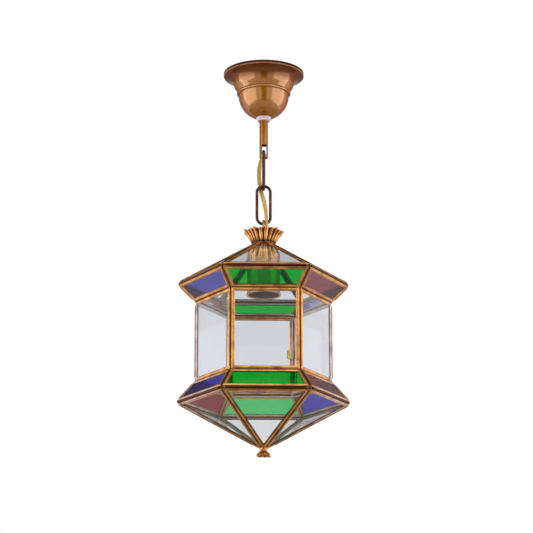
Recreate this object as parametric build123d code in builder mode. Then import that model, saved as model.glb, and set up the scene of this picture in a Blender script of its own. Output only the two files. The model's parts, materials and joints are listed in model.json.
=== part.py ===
from build123d import *
import os
from math import cos, hypot, pi, radians, sin, sqrt, tan

os.makedirs("parts", exist_ok=True)

# Hexagonal pendant lantern of brass strip and stained glass, hung from a ceiling canopy.
# Millimetres. The origin is on the ceiling plane, on the stem's axis, and +Z is up.
# The front faces -Y. The door is on the back.

# Clearances and the overrun of cuts
overrun = 5.0
thread_gap = 0.05
running_gap = 0.05
hang_gap = 0.2
seam_gap = 0.3
mitre_gap = 0.1
glass_gap = 0.1
solder_gap = 0.05

# Glass body: hexagon radii run to the corners, on the middle of the glass
side_count = 6
eave_radius = 121.2
side_radius = 95.0
roof_rise = 65.5
upper_skirt_height = 26.0
side_height = 116.0
lower_skirt_height = 29.4
base_drop = 65.8

# Brass channel strip round each pane
strip_width = 4.6
strip_thickness = 4.6
strip_edge = 3.0
strip_web = 1.0
strip_lip = 0.3
glass_thickness = 2.0

# Solder run into the notch along each edge
solder_fill_share = 1.5
solder_end_gap = 6.0

# Door in the back side
jamb_width = 2.2
door_gap = 0.5
door_strip_width = 3.2
hinge_pin_radius = 1.0
knuckle_wall = 0.85
knuckle_height = 6.0
door_leaf_length = 3.2
post_leaf_length = 2.0
hinge_leaf_sheet = 0.6
hinge_place_share = 0.3
pin_head_radius = 1.6
pin_head_height = 0.8
catch_radius = 2.9
catch_sheet = 0.8
catch_height = 12.7
catch_tail = 4.0
catch_edge_gap = 0.6
keeper_width = 1.6
keeper_inset = 0.3
keeper_height = 10.0

# Chain, eye and flex
link_wire_radius = 2.1
link_length = 61.0
link_side_gap = 1.4
link_butt_gap = 0.8
link_butt_share = 0.46
eye_wire_radius = 1.8
eye_half_width = 10.5
eye_height = 33.3
cord_radius = 1.6
cord_gap = 0.2

# Stem and canopy
stem_length = 129.0
stem_wall = 0.5
stem_bore_gap = 0.1
stem_rise = 7.0
slot_width = 8.0
slot_height = 14.8
slot_land = 4.2
slot_round = 1.2
canopy_radius = 58.4
canopy_wall = 1.0
canopy_rim_height = 4.0
canopy_rim_step = 1.4
canopy_neck_radius = 43.3
canopy_neck_drop = 20.0
canopy_waist_radius = 37.2
canopy_bead_radius = 2.2
canopy_bowl_radius = 36.7
canopy_bowl_drop = 33.0
canopy_cove_share = 0.34
canopy_neck_round = 14.0
canopy_seat_radius = 11.8
canopy_hole_gap = 2.0
collar_top_radius = 11.1
collar_low_radius = 8.9
collar_height = 5.2

# Ceiling bracket and wiring
bracket_sheet = 2.0
bracket_width = 18.0
bracket_drop = 18.0
bridge_half_length = 34.0
screw_spacing = 86.0
screw_hole_radius = 2.5
foot_margin = 7.0
stem_nut_flats = 18.0
stem_nut_height = 5.0
terminal_length = 18.0
terminal_width = 16.0
terminal_height = 11.5
terminal_gap = 1.6
terminal_round = 1.0
terminal_screw_radius = 2.0
terminal_screw_head = 1.2
terminal_screw_slot = 0.6
core_radius = 0.9
core_pitch = 2.4
core_bend = 3.0

# Crown and roof hub
hub_radius = 16.0
hub_thickness = 5.0
crown_seat_gap = 0.4
crown_pleats = 20
crown_base_radius = 17.1
crown_rim_radius = 30.0
crown_height = 20.0
crown_sheet = 0.9
crown_base_fold = 2.0
crown_rim_fold = 3.4

# Lampholder and its cover
nipple_radius = 5.0
nipple_bore = 3.5
nipple_stand = 6.3
nipple_engage = 10.0
nipple_nut_flats = 13.0
nipple_nut_height = 4.0
cover_radius = 23.5
cover_wall = 1.0
cover_length = 70.3
cover_top_radius = 12.5
cover_shoulder = 18.2
cover_mid_radius_share = 0.64
cover_mid_drop_share = 0.28
cover_bead_radius = 1.5
holder_neck_radius = 8.5
holder_neck_height = 12.0
holder_radius = 20.0
holder_cap_height = 21.2
holder_cap_wall = 2.5
holder_body_height = 30.0
holder_floor = 5.0
sleeve_bore = 13.5
sleeve_wall = 0.8
sleeve_recess = 1.0
contact_radius = 3.5
contact_height = 2.0

# Base hub and finial
base_hub_radius = 5.5
base_hub_height = 7.0
finial_petals = 7
finial_neck_radius = 4.2
finial_rim_radius = 10.9
finial_height = 11.4
finial_neck_fold = 0.6
finial_rim_fold = 3.6
finial_stud_radius = 2.5

# Route of the free flex from the stem's mouth into the nipple, its heights from the stem's lower end
cord_route = [
    (-3.9, 0.0, 5.0),
    (-3.9, 0.0, -2.0),
    (-5.5, 0.5, -10.0),
    (-6.7, 1.6, -20.0),
    (-6.5, 3.4, -31.0),
    (-5.0, 5.1, -41.0),
    (-3.2, 4.8, -51.0),
    (-0.6, 2.0, -61.0),
    (1.5, -1.3, -71.0),
    (2.9, -4.1, -82.0),
    (3.8, -5.4, -93.0),
    (4.0, -4.8, -103.0),
    (2.9, -2.6, -112.0),
    (1.0, -0.7, -119.0),
    (0.0, 0.0, -124.5),
    (0.0, 0.0, -129.5),
]
upper_span_drop = 34.0
middle_span_drop = 77.0
run_share = 0.45

# Sizes that follow from the ones above
stem_bore = link_wire_radius + cord_gap + 2 * cord_radius + stem_bore_gap
stem_radius = stem_bore + stem_wall
cord_x = -(link_wire_radius + cord_gap + cord_radius)
link_bend = stem_radius + link_side_gap + link_wire_radius
link_pitch = link_length - 2 * link_wire_radius
knuckle_radius = hinge_pin_radius + running_gap + knuckle_wall
groove_width = glass_thickness + 2 * glass_gap
lip_edge = groove_width + 2 * strip_lip
half_turn = 180.0
side_turn = 2 * half_turn / side_count
apothem_ratio = cos(radians(side_turn / 2))

# Heights, from the ceiling down
stem_end_z = -stem_length
slot_low_z = stem_end_z + slot_land
slot_top_z = slot_low_z + slot_height
wire_rise = sqrt((link_bend - link_wire_radius)**2 - stem_radius**2)
upper_link_z = slot_low_z + hang_gap + link_bend - wire_rise
upper_link_low_z = upper_link_z - link_pitch
lower_link_z = upper_link_low_z + 2 * link_wire_radius + hang_gap
lower_link_low_z = lower_link_z - link_pitch
eye_z = lower_link_low_z + link_wire_radius + eye_wire_radius + hang_gap
hub_top_z = eye_z - eye_height
hub_low_z = hub_top_z - hub_thickness
roof_tilt_ratio = hypot(roof_rise, eave_radius * apothem_ratio) / (eave_radius * apothem_ratio)
strip_rise = strip_thickness / 2 * roof_tilt_ratio
apex_z = hub_top_z - crown_seat_gap + roof_rise * hub_radius / eave_radius - strip_rise
eave_z = apex_z - roof_rise
side_top_z = eave_z - upper_skirt_height
side_low_z = side_top_z - side_height
low_eave_z = side_low_z - lower_skirt_height
base_apex_z = low_eave_z - base_drop
side_mid_z = (side_top_z + side_low_z) / 2

parts_made = []


def keep(piece, label):
    """Labels a finished piece and writes it to its own file."""
    piece.label = label
    export_step(piece, f"parts/{label}.step")
    parts_made.append(label)


# Outlines of the faces, drawn flat in the plane of the front face of each ring
class Face_ring:
    """A ring of six like faces between two hexagons, given by their corner radii and heights."""

    def __init__(self, low_radius, low_z, high_radius, high_z):
        low_y = -low_radius * apothem_ratio
        high_y = -high_radius * apothem_ratio
        self.slant = hypot(high_y - low_y, high_z - low_z)
        up = Vector(0, high_y - low_y, high_z - low_z)
        self.normal = Vector(1, 0, 0).cross(up).normalized()
        self.plane = Plane(origin=(0, low_y, low_z), x_dir=(1, 0, 0), z_dir=self.normal)
        corners = [
            Vector(-low_radius / 2, 0),
            Vector(low_radius / 2, 0),
            Vector(high_radius / 2, self.slant),
            Vector(-high_radius / 2, self.slant),
        ]
        # A ring that closes to a point has three corners on each face
        self.corners = [c for i, c in enumerate(corners) if (c - corners[i - 1]).length > 0]


def fold_inset(normal, other):
    """How far strips on two faces stay from their common edge so that their corners just meet."""
    fold = normal.get_angle(other)
    return strip_edge / 2 * tan(radians(fold / 2)) + seam_gap / 2


def inset_outline(corners, insets):
    """Moves each side of a convex outline inwards by its own inset."""
    sides = []
    for start, end, inset in zip(corners, corners[1:] + corners[:1], insets):
        along = (end - start).normalized()
        inward = Vector(-along.Y, along.X)
        sides.append((start + inward * inset, along))
    moved = []
    for (a, u), (b, v) in zip(sides[-1:] + sides[:-1], sides):
        step = (b - a).cross(v).Z / u.cross(v).Z
        moved.append(a + u * step)
    return moved


def strip_outline(ring, below, above):
    """Outer outline of the strips on one face, from the faces that it meets below, above and beside it."""
    turned = ring.normal.rotate(Axis.Z, side_turn)
    beside = fold_inset(ring.normal, turned)
    insets = []
    for start, end in zip(ring.corners, ring.corners[1:] + ring.corners[:1]):
        level = start.Y == end.Y
        at_foot = level and start.Y == 0
        other = below if at_foot else above
        insets.append(fold_inset(ring.normal, other.normal) if level else beside)
    return inset_outline(ring.corners, insets)


def draw_face(outline):
    """A flat face with straight sides through the outline's corners."""
    Polygon([(c.X, c.Y) for c in outline], align=None)


def make_strips(plane, outline, width, hub_cut=0.0):
    """The mitred strips round one pane: arched channels, hollowed for the glass, from the first side on."""
    inner = inset_outline(outline, [width] * len(outline))
    edge_high = (0, strip_edge / 2)
    edge_low = (0, -strip_edge / 2)
    lip_high = (width, lip_edge / 2)
    lip_low = (width, -lip_edge / 2)
    made = []
    for i, start in enumerate(outline):
        j = (i + 1) % len(outline)
        run = outline[j] - start
        gap = run.normalized() * (mitre_gap / 2)
        inward = Vector(-run.Y, run.X)
        section_plane = Plane(
            origin=plane.from_local_coords(start),
            x_dir=plane.from_local_coords(inward) - plane.origin,
            z_dir=plane.from_local_coords(run) - plane.origin,
        )
        with BuildPart() as strip:
            with BuildSketch(plane):
                draw_face([start + gap, outline[j] - gap, inner[j] - gap, inner[i] + gap])
            extrude(amount=strip_thickness, both=True)
            with BuildSketch(section_plane):
                with BuildLine():
                    Line(edge_low, edge_high)
                    ThreePointArc(edge_high, (width / 2, strip_thickness / 2), lip_high)
                    Polyline(
                        lip_high,
                        (width, groove_width / 2),
                        (strip_web, groove_width / 2),
                        (strip_web, -groove_width / 2),
                        (width, -groove_width / 2),
                        lip_low,
                    )
                    ThreePointArc(lip_low, (width / 2, -strip_thickness / 2), edge_low)
                make_face()
            extrude(amount=run.length, mode=Mode.INTERSECT)
            if hub_cut:
                Cylinder(radius=hub_cut, height=2 * abs(base_apex_z) + overrun, mode=Mode.SUBTRACT)
        made.append(strip.part)
    return made


def make_pane(plane, outline, hub_cut=0.0):
    """The glass that sits in the strips of one face."""
    with BuildPart() as pane:
        with BuildSketch(plane):
            draw_face(inset_outline(outline, [strip_web + glass_gap] * len(outline)))
        extrude(amount=glass_thickness / 2, both=True)
        if hub_cut:
            Cylinder(radius=hub_cut, height=2 * abs(base_apex_z) + overrun, mode=Mode.SUBTRACT)
    return pane.part


roof = Face_ring(eave_radius, eave_z, 0, apex_z)
upper_skirt = Face_ring(side_radius, side_top_z, eave_radius, eave_z)
side = Face_ring(side_radius, side_low_z, side_radius, side_top_z)
lower_skirt = Face_ring(eave_radius, low_eave_z, side_radius, side_low_z)
base = Face_ring(0, base_apex_z, eave_radius, low_eave_z)

roof_outline = strip_outline(roof, upper_skirt, None)
upper_outline = strip_outline(upper_skirt, side, roof)
side_outline = strip_outline(side, lower_skirt, upper_skirt)
lower_outline = strip_outline(lower_skirt, base, side)
base_outline = strip_outline(base, None, lower_skirt)
roof_cut = hub_radius + mitre_gap
base_cut = base_hub_radius + mitre_gap

# Brass strips, ring by ring
for label, ring, outline, hub_cut in [
    ("roof_strips", roof, roof_outline, roof_cut),
    ("upper_skirt_strips", upper_skirt, upper_outline, 0),
    ("lower_skirt_strips", lower_skirt, lower_outline, 0),
    ("base_strips", base, base_outline, base_cut),
]:
    face_strips = make_strips(ring.plane, outline, strip_width, hub_cut)
    with BuildPart() as strip_ring:
        with PolarLocations(0, side_count):
            add(face_strips)
    keep(strip_ring.part, label)

side_face_strips = make_strips(side.plane, side_outline, strip_width)
fixed_sides = side_count - 1
first_side_turn = side_turn - half_turn
with BuildPart() as side_strips:
    with PolarLocations(0, fixed_sides, first_side_turn, -2 * first_side_turn, endpoint=True):
        add(side_face_strips)
keep(side_strips.part, "side_strips")

# The back side has slimmer strips, as a jamb round its door
with BuildPart() as door_jamb:
    with PolarLocations(0, 1, half_turn):
        add(make_strips(side.plane, side_outline, jamb_width))
keep(door_jamb.part, "door_jamb")


def make_solder(start, end, normal, other, pane_way):
    """A bar of solder in the notch between the strips of two faces, along their common edge."""
    fold = radians(normal.get_angle(other))
    spread = sin(fold / 2)
    radius = solder_fill_share * strip_edge * cos(fold / 2) / (1 + 1 / spread)
    outward = (normal + other).normalized()
    # The notch is outside where the panes fall back from the edge, and inside where they flare
    opening = outward if pane_way.dot(outward) < 0 else -outward
    notch_depth = fold_inset(normal, other) / spread
    shift = opening * ((radius + solder_gap) / spread - notch_depth)
    run = end - start
    along = run.normalized()
    with BuildPart() as bar:
        with BuildSketch(Plane(origin=start + shift + along * solder_end_gap, z_dir=along)):
            Circle(radius)
        extrude(amount=run.length - 2 * solder_end_gap)
    return bar.part


def ring_corner(radius, height):
    """The corner at the right end of a ring's front edge."""
    return Vector(radius / 2, -radius * apothem_ratio, height)


solder_bars = []
for high_ring, low_ring, radius, height in [
    (roof, upper_skirt, eave_radius, eave_z),
    (upper_skirt, side, side_radius, side_top_z),
    (side, lower_skirt, side_radius, side_low_z),
    (lower_skirt, base, eave_radius, low_eave_z),
]:
    right = ring_corner(radius, height)
    left = Vector(-right.X, right.Y, right.Z)
    rising = high_ring.plane.y_dir
    solder_bars.append(make_solder(left, right, high_ring.normal, low_ring.normal, rising))
apex_share = (hub_radius + strip_width) / eave_radius
base_apex_share = (base_hub_radius + strip_width) / eave_radius
roof_tip = ring_corner(apex_share * eave_radius, apex_z - apex_share * roof_rise)
base_tip = ring_corner(base_apex_share * eave_radius, base_apex_z + base_apex_share * base_drop)
for ring, low_end, high_end in [
    (roof, ring_corner(eave_radius, eave_z), roof_tip),
    (upper_skirt, ring_corner(side_radius, side_top_z), ring_corner(eave_radius, eave_z)),
    (side, ring_corner(side_radius, side_low_z), ring_corner(side_radius, side_top_z)),
    (lower_skirt, ring_corner(eave_radius, low_eave_z), ring_corner(side_radius, side_low_z)),
    (base, base_tip, ring_corner(eave_radius, low_eave_z)),
]:
    beside = ring.normal.rotate(Axis.Z, side_turn)
    solder_bars.append(make_solder(low_end, high_end, ring.normal, beside, Vector(-1, 0, 0)))

with BuildPart() as solder_seams:
    with PolarLocations(0, side_count):
        add(solder_bars)
keep(solder_seams.part, "solder_seams")

# Clear panes of the roof and the base
for label, ring, outline, hub_cut in [
    ("roof_panes", roof, roof_outline, roof_cut),
    ("base_panes", base, base_outline, base_cut),
]:
    face_pane = make_pane(ring.plane, outline, hub_cut)
    with BuildPart() as pane_ring:
        with PolarLocations(0, side_count):
            add(face_pane)
    keep(pane_ring.part, label)

# Coloured skirt panes and clear side panes, going round from the front towards +X
places = ["front", "front_right", "back_right", "back", "back_left", "front_left"]
colours = ["green", "red", "blue"]
upper_face_pane = make_pane(upper_skirt.plane, upper_outline)
lower_face_pane = make_pane(lower_skirt.plane, lower_outline)
side_face_pane = make_pane(side.plane, side_outline)
for i, place in enumerate(places):
    colour = colours[i % len(colours)]
    for label, face_pane in [
        (f"upper_{colour}_pane_{place}", upper_face_pane),
        (f"lower_{colour}_pane_{place}", lower_face_pane),
        (f"side_pane_{place}", side_face_pane),
    ]:
        if label == "side_pane_back":
            continue
        with BuildPart() as pane_copy:
            with PolarLocations(0, 1, i * side_turn):
                add(face_pane)
        keep(pane_copy.part, label)

# Door: its own narrower strips and pane, inside the jamb
jamb_opening = inset_outline(side_outline, [jamb_width] * len(side_outline))
door_outline = inset_outline(jamb_opening, [door_gap] * len(jamb_opening))
with BuildPart() as door_strips:
    with PolarLocations(0, 1, half_turn):
        add(make_strips(side.plane, door_outline, door_strip_width))
keep(door_strips.part, "door_strips")

with BuildPart() as door_pane:
    with PolarLocations(0, 1, half_turn):
        add(make_pane(side.plane, door_outline))
keep(door_pane.part, "door_pane")

# Door hinges on the outside of the -X stile: knuckles of the post below, of the door above
back_y = side_radius * apothem_ratio
back_out_y = back_y + strip_thickness / 2
back_in_y = back_y - strip_thickness / 2
jamb_half = jamb_opening[1].X
door_half = jamb_half - door_gap
hinge_x = -(jamb_half + door_half) / 2
hinge_y = back_out_y + knuckle_radius
hinge_spots = [side_mid_z - hinge_place_share * side_height, side_mid_z + hinge_place_share * side_height]


def make_knuckles(leaf_reach, foot_offset):
    """One rolled knuckle with its leaf at each hinge, the leaf reaching towards +X or -X."""
    with BuildPart() as knuckles:
        for spot in hinge_spots:
            with BuildSketch(Plane.XY.offset(spot + foot_offset)):
                with Locations((hinge_x, hinge_y)):
                    Circle(knuckle_radius)
                with Locations((hinge_x + leaf_reach / 2, back_out_y + hinge_leaf_sheet / 2)):
                    Rectangle(abs(leaf_reach), hinge_leaf_sheet)
                with Locations((hinge_x, hinge_y)):
                    Circle(hinge_pin_radius + running_gap, mode=Mode.SUBTRACT)
            extrude(amount=knuckle_height)
    return knuckles.part


keep(make_knuckles(-post_leaf_length, -knuckle_height - hang_gap / 2), "post_knuckles")
keep(make_knuckles(door_leaf_length, hang_gap / 2), "door_knuckles")

pin_reach = knuckle_height + hang_gap
with BuildPart() as hinge_pins:
    for spot in hinge_spots:
        with BuildSketch(Plane.XY.offset(spot - pin_reach)):
            with Locations((hinge_x, hinge_y)):
                Circle(hinge_pin_radius)
        extrude(amount=2 * pin_reach)
        with BuildSketch(Plane.XY.offset(spot + pin_reach)):
            with Locations((hinge_x, hinge_y)):
                Circle(pin_head_radius)
        extrude(amount=pin_head_height)
keep(hinge_pins.part, "hinge_pins")

# Spring catch inside the +X stile: a curled strip on the door, a keeper on the post
catch_x = door_half - catch_edge_gap - catch_radius
with BuildPart() as catch_curl:
    with BuildSketch(Plane.XY.offset(side_mid_z - catch_height / 2)):
        with Locations((catch_x, back_in_y - catch_radius)):
            Circle(catch_radius)
            Circle(catch_radius - catch_sheet, mode=Mode.SUBTRACT)
        with Locations((catch_x + (catch_radius - catch_tail) / 2, back_in_y - catch_sheet / 2)):
            Rectangle(catch_tail + catch_radius, catch_sheet)
    extrude(amount=catch_height)
keep(catch_curl.part, "catch_curl")

with BuildPart() as catch_keeper:
    with BuildSketch(Plane.XY.offset(side_mid_z - keeper_height / 2)):
        with Locations((jamb_half + keeper_inset + keeper_width / 2, back_in_y - catch_sheet / 2)):
            Rectangle(keeper_width, catch_sheet)
    extrude(amount=keeper_height)
keep(catch_keeper.part, "catch_keeper")

# Chain links: the upper one lies in the YZ plane through the stem's slot, the lower one across it


def make_link(plane):
    """A long round-wire link whose upper wire centre is at the plane's origin, drawn in that plane."""
    leg = link_pitch - 2 * link_bend
    with BuildPart() as link:
        with BuildLine(plane) as loop:
            upper_bend = CenterArc((0, -link_bend), link_bend, 0, half_turn)
            left_leg = Line(upper_bend @ 1, (-link_bend, -link_bend - leg))
            lower_bend = CenterArc((0, -link_bend - leg), link_bend, half_turn, half_turn)
            Line(lower_bend @ 1, upper_bend @ 0)
        with BuildSketch(Plane(origin=left_leg @ 0, z_dir=left_leg % 0)):
            Circle(link_wire_radius)
        sweep(path=loop.wire())
    return link.part


upper_link_plane = Plane(origin=(0, 0, upper_link_z), x_dir=(0, 1, 0), z_dir=(1, 0, 0))
lower_link_plane = Plane(origin=(0, 0, lower_link_z), x_dir=(1, 0, 0), z_dir=(0, -1, 0))
butt_z = upper_link_z - link_butt_share * link_pitch
with BuildPart() as upper_link:
    add(make_link(upper_link_plane))
    with Locations((0, -link_bend, butt_z)):
        Box(4 * link_wire_radius, 4 * link_wire_radius, link_butt_gap, mode=Mode.SUBTRACT)
keep(upper_link.part, "upper_link")
keep(make_link(lower_link_plane), "lower_link")

# Hanging eye: an inverted U of wire whose legs go through the roof hub
with BuildPart() as hanging_eye:
    with BuildLine(Plane(origin=(0, 0, eye_z), x_dir=(0, 1, 0), z_dir=(1, 0, 0))) as eye_line:
        eye_bend = CenterArc((0, -eye_half_width), eye_half_width, 0, half_turn)
        near_leg = Line((eye_half_width, hub_low_z - eye_z), eye_bend @ 0)
        Line(eye_bend @ 1, (-eye_half_width, hub_low_z - eye_z))
    with BuildSketch(Plane(origin=near_leg @ 0, z_dir=near_leg % 0)):
        Circle(eye_wire_radius)
    sweep(path=eye_line.wire())
keep(hanging_eye.part, "hanging_eye")

# Stem tube with a slot through it for the upper link
with BuildPart() as stem_tube:
    bridge_z = -bracket_drop
    stem_top_z = bridge_z + bracket_sheet + stem_rise
    with BuildSketch(Plane.XY.offset(stem_end_z)):
        Circle(stem_radius)
        Circle(stem_bore, mode=Mode.SUBTRACT)
    extrude(amount=stem_top_z - stem_end_z)
    with BuildSketch(Plane.XZ):
        with Locations((0, (slot_low_z + slot_top_z) / 2)):
            RectangleRounded(slot_width, slot_height, slot_round)
    extrude(amount=stem_radius + overrun, both=True, mode=Mode.SUBTRACT)
keep(stem_tube.part, "stem_tube")

# Canopy: a spun bell with a flared rim, a raised bead and a round bowl
with BuildPart() as canopy:
    seat_z = -canopy_bowl_drop - sqrt(canopy_bowl_radius**2 - canopy_seat_radius**2)
    cove_start = Vector(canopy_radius - canopy_rim_step, -canopy_rim_height - canopy_rim_step / 2)
    neck = Vector(canopy_neck_radius, -canopy_neck_drop)
    bead_top = Vector(canopy_waist_radius, -canopy_bowl_drop + 2 * canopy_bead_radius)
    bead_low = Vector(canopy_bowl_radius, -canopy_bowl_drop)
    bead_out = (bead_top + bead_low) * (1 / 2) + Vector(canopy_bead_radius, 0)
    cove_mid = Vector(
        neck.X + canopy_cove_share * (cove_start.X - neck.X),
        cove_start.Y + canopy_cove_share * (neck.Y - cove_start.Y),
    )
    bowl_share = sqrt(1 / 2)
    bowl_mid = Vector(bowl_share * canopy_bowl_radius, -canopy_bowl_drop - bowl_share * canopy_bowl_radius)
    with BuildSketch(Plane.XZ) as bell:
        with BuildLine():
            Polyline((0, 0), (canopy_radius, 0), (canopy_radius, -canopy_rim_height), cove_start)
            ThreePointArc(cove_start, cove_mid, neck)
            Line(neck, bead_top)
            ThreePointArc(bead_top, bead_out, bead_low)
            ThreePointArc(bead_low, bowl_mid, (canopy_seat_radius, seat_z))
            Polyline((canopy_seat_radius, seat_z), (0, seat_z), (0, 0))
        make_face()
        fillet(bell.vertices().sort_by_distance(neck)[0], radius=canopy_neck_round)
    revolve(axis=Axis.Z)
    offset(amount=-canopy_wall, openings=canopy.faces().sort_by(Axis.Z)[-1])
    with Locations((0, 0, seat_z)):
        Cylinder(radius=stem_radius + canopy_hole_gap, height=2 * overrun, mode=Mode.SUBTRACT)
keep(canopy.part, "canopy")

with BuildPart() as canopy_collar:
    collar_low_z = seat_z - collar_height
    with BuildSketch(Plane.XZ):
        with BuildLine():
            Polyline(
                (stem_radius + running_gap, seat_z),
                (collar_top_radius, seat_z),
                (collar_low_radius, collar_low_z),
                (stem_radius + running_gap, collar_low_z),
                close=True,
            )
        make_face()
    revolve(axis=Axis.Z)
keep(canopy_collar.part, "canopy_collar")

# Ceiling bracket: a hat-shaped strap with a screw hole in each foot
foot_end = screw_spacing / 2 + foot_margin
with BuildPart() as ceiling_bracket:
    with BuildSketch(Plane.XZ):
        with BuildLine():
            Polyline(
                (-foot_end, 0),
                (-bridge_half_length + bracket_sheet, 0),
                (-bridge_half_length + bracket_sheet, bridge_z + bracket_sheet),
                (bridge_half_length - bracket_sheet, bridge_z + bracket_sheet),
                (bridge_half_length - bracket_sheet, 0),
                (foot_end, 0),
                (foot_end, -bracket_sheet),
                (bridge_half_length, -bracket_sheet),
                (bridge_half_length, bridge_z),
                (-bridge_half_length, bridge_z),
                (-bridge_half_length, -bracket_sheet),
                (-foot_end, -bracket_sheet),
                close=True,
            )
        make_face()
    extrude(amount=bracket_width / 2, both=True)
    with GridLocations(screw_spacing, 0, 2, 1):
        Cylinder(radius=screw_hole_radius, height=2 * overrun, mode=Mode.SUBTRACT)
    with Locations((0, 0, bridge_z)):
        Cylinder(radius=stem_radius + thread_gap, height=2 * overrun, mode=Mode.SUBTRACT)
keep(ceiling_bracket.part, "ceiling_bracket")

with BuildPart() as stem_nuts:
    for foot_z in (bridge_z + bracket_sheet, bridge_z - stem_nut_height):
        with BuildSketch(Plane.XY.offset(foot_z)):
            RegularPolygon(stem_nut_flats / 2, side_count, major_radius=False)
            Circle(stem_radius + thread_gap, mode=Mode.SUBTRACT)
        extrude(amount=stem_nut_height)
keep(stem_nuts.part, "stem_nuts")

# Terminal block on the bridge, with the flex's two cores bent over into it
nut_corner = stem_nut_flats / 2 / apothem_ratio
terminal_x = nut_corner + terminal_gap
terminal_low_z = bridge_z + bracket_sheet
terminal_top_z = terminal_low_z + terminal_height
with BuildPart() as terminal_block:
    with Locations((terminal_x + terminal_length / 2, 0, terminal_low_z + terminal_height / 2)):
        Box(terminal_length, terminal_width, terminal_height)
    fillet(terminal_block.edges().filter_by(Axis.Z), radius=terminal_round)
keep(terminal_block.part, "terminal_block")

with BuildPart() as terminal_screws:
    with BuildSketch(Plane.XY.offset(terminal_top_z)):
        with Locations((terminal_x + terminal_length / 2, 0)):
            with GridLocations(0, terminal_width / 2, 1, 2):
                Circle(terminal_screw_radius)
    extrude(amount=terminal_screw_head)
    with Locations((terminal_x + terminal_length / 2, 0, terminal_top_z + terminal_screw_head)):
        Box(terminal_screw_slot, terminal_width, terminal_screw_head, mode=Mode.SUBTRACT)
keep(terminal_screws.part, "terminal_screws")

with BuildPart() as lead_cores:
    for core_y in (-core_pitch / 2, core_pitch / 2):
        with BuildLine(Plane.XZ.offset(-core_y)) as core_line:
            bend = CenterArc((cord_x + core_bend, stem_top_z), core_bend, half_turn, -half_turn / 2)
            Line(bend @ 1, (terminal_x, stem_top_z + core_bend))
        with BuildSketch(Plane(origin=bend @ 0, z_dir=bend % 0)):
            Circle(core_radius)
        sweep(path=core_line.wire())
keep(lead_cores.part, "lead_cores")

# Roof hub with holes for the eye's legs and the nipple
with BuildPart() as roof_hub:
    with BuildSketch(Plane.XY.offset(hub_low_z)):
        Circle(hub_radius)
        Circle(nipple_radius + thread_gap, mode=Mode.SUBTRACT)
        with GridLocations(0, 2 * eye_half_width, 1, 2):
            Circle(eye_wire_radius + thread_gap, mode=Mode.SUBTRACT)
    extrude(amount=hub_thickness)
keep(roof_hub.part, "roof_hub")


def pleat_outline(count, radius, fold):
    """A closed zigzag ring of folds whose crests are at the radius."""
    turns = [pi * i / count for i in range(2 * count)]
    reach = [radius - fold * (i % 2) for i in range(2 * count)]
    return [Vector(r * cos(t), r * sin(t)) for r, t in zip(reach, turns)]


# Crown: a flared collar of folded sheet on the roof hub
with BuildPart() as crown:
    for skin, mode in [(0, Mode.ADD), (crown_sheet, Mode.SUBTRACT)]:
        with BuildSketch(Plane.XY.offset(hub_top_z)):
            draw_face(pleat_outline(crown_pleats, crown_base_radius - skin, crown_base_fold))
        with BuildSketch(Plane.XY.offset(hub_top_z + crown_height)):
            draw_face(pleat_outline(crown_pleats, crown_rim_radius - skin, crown_rim_fold))
        loft(ruled=True, mode=mode)
keep(crown.part, "crown")

# Threaded nipple with a nut above the hub and one under the cover
nipple_top_z = hub_top_z + nipple_stand
cover_low_z = hub_low_z - cover_length
low_nut_top_z = hub_low_z - cover_wall
holder_top_z = low_nut_top_z - nipple_nut_height
nipple_low_z = holder_top_z - nipple_engage
with BuildPart() as holder_nipple:
    with BuildSketch(Plane.XY.offset(nipple_low_z)):
        Circle(nipple_radius)
        Circle(nipple_bore, mode=Mode.SUBTRACT)
    extrude(amount=nipple_top_z - nipple_low_z)
keep(holder_nipple.part, "holder_nipple")

with BuildPart() as nipple_nuts:
    for foot_z in (hub_top_z, holder_top_z):
        with BuildSketch(Plane.XY.offset(foot_z)):
            RegularPolygon(nipple_nut_flats / 2, side_count, major_radius=False)
            Circle(nipple_radius + thread_gap, mode=Mode.SUBTRACT)
        extrude(amount=nipple_nut_height)
keep(nipple_nuts.part, "nipple_nuts")

# Lampholder cover: a long cup with a rounded shoulder and a rolled rim
with BuildPart() as holder_cover:
    shoulder_mid = (
        cover_top_radius + cover_mid_radius_share * (cover_radius - cover_top_radius),
        hub_low_z - cover_mid_drop_share * cover_shoulder,
    )
    shoulder_end = (cover_radius, hub_low_z - cover_shoulder)
    with BuildSketch(Plane.XZ):
        with BuildLine():
            Line((0, hub_low_z), (cover_top_radius, hub_low_z))
            ThreePointArc((cover_top_radius, hub_low_z), shoulder_mid, shoulder_end)
            Polyline(shoulder_end, (cover_radius, cover_low_z), (0, cover_low_z), (0, hub_low_z))
        make_face()
    revolve(axis=Axis.Z)
    offset(amount=-cover_wall, openings=holder_cover.faces().sort_by(Axis.Z)[0])
    with Locations((0, 0, cover_low_z)):
        Torus(cover_radius - cover_wall / 2, cover_bead_radius)
    with Locations((0, 0, hub_low_z)):
        Cylinder(radius=nipple_radius + thread_gap, height=2 * overrun, mode=Mode.SUBTRACT)
keep(holder_cover.part, "holder_cover")

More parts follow.
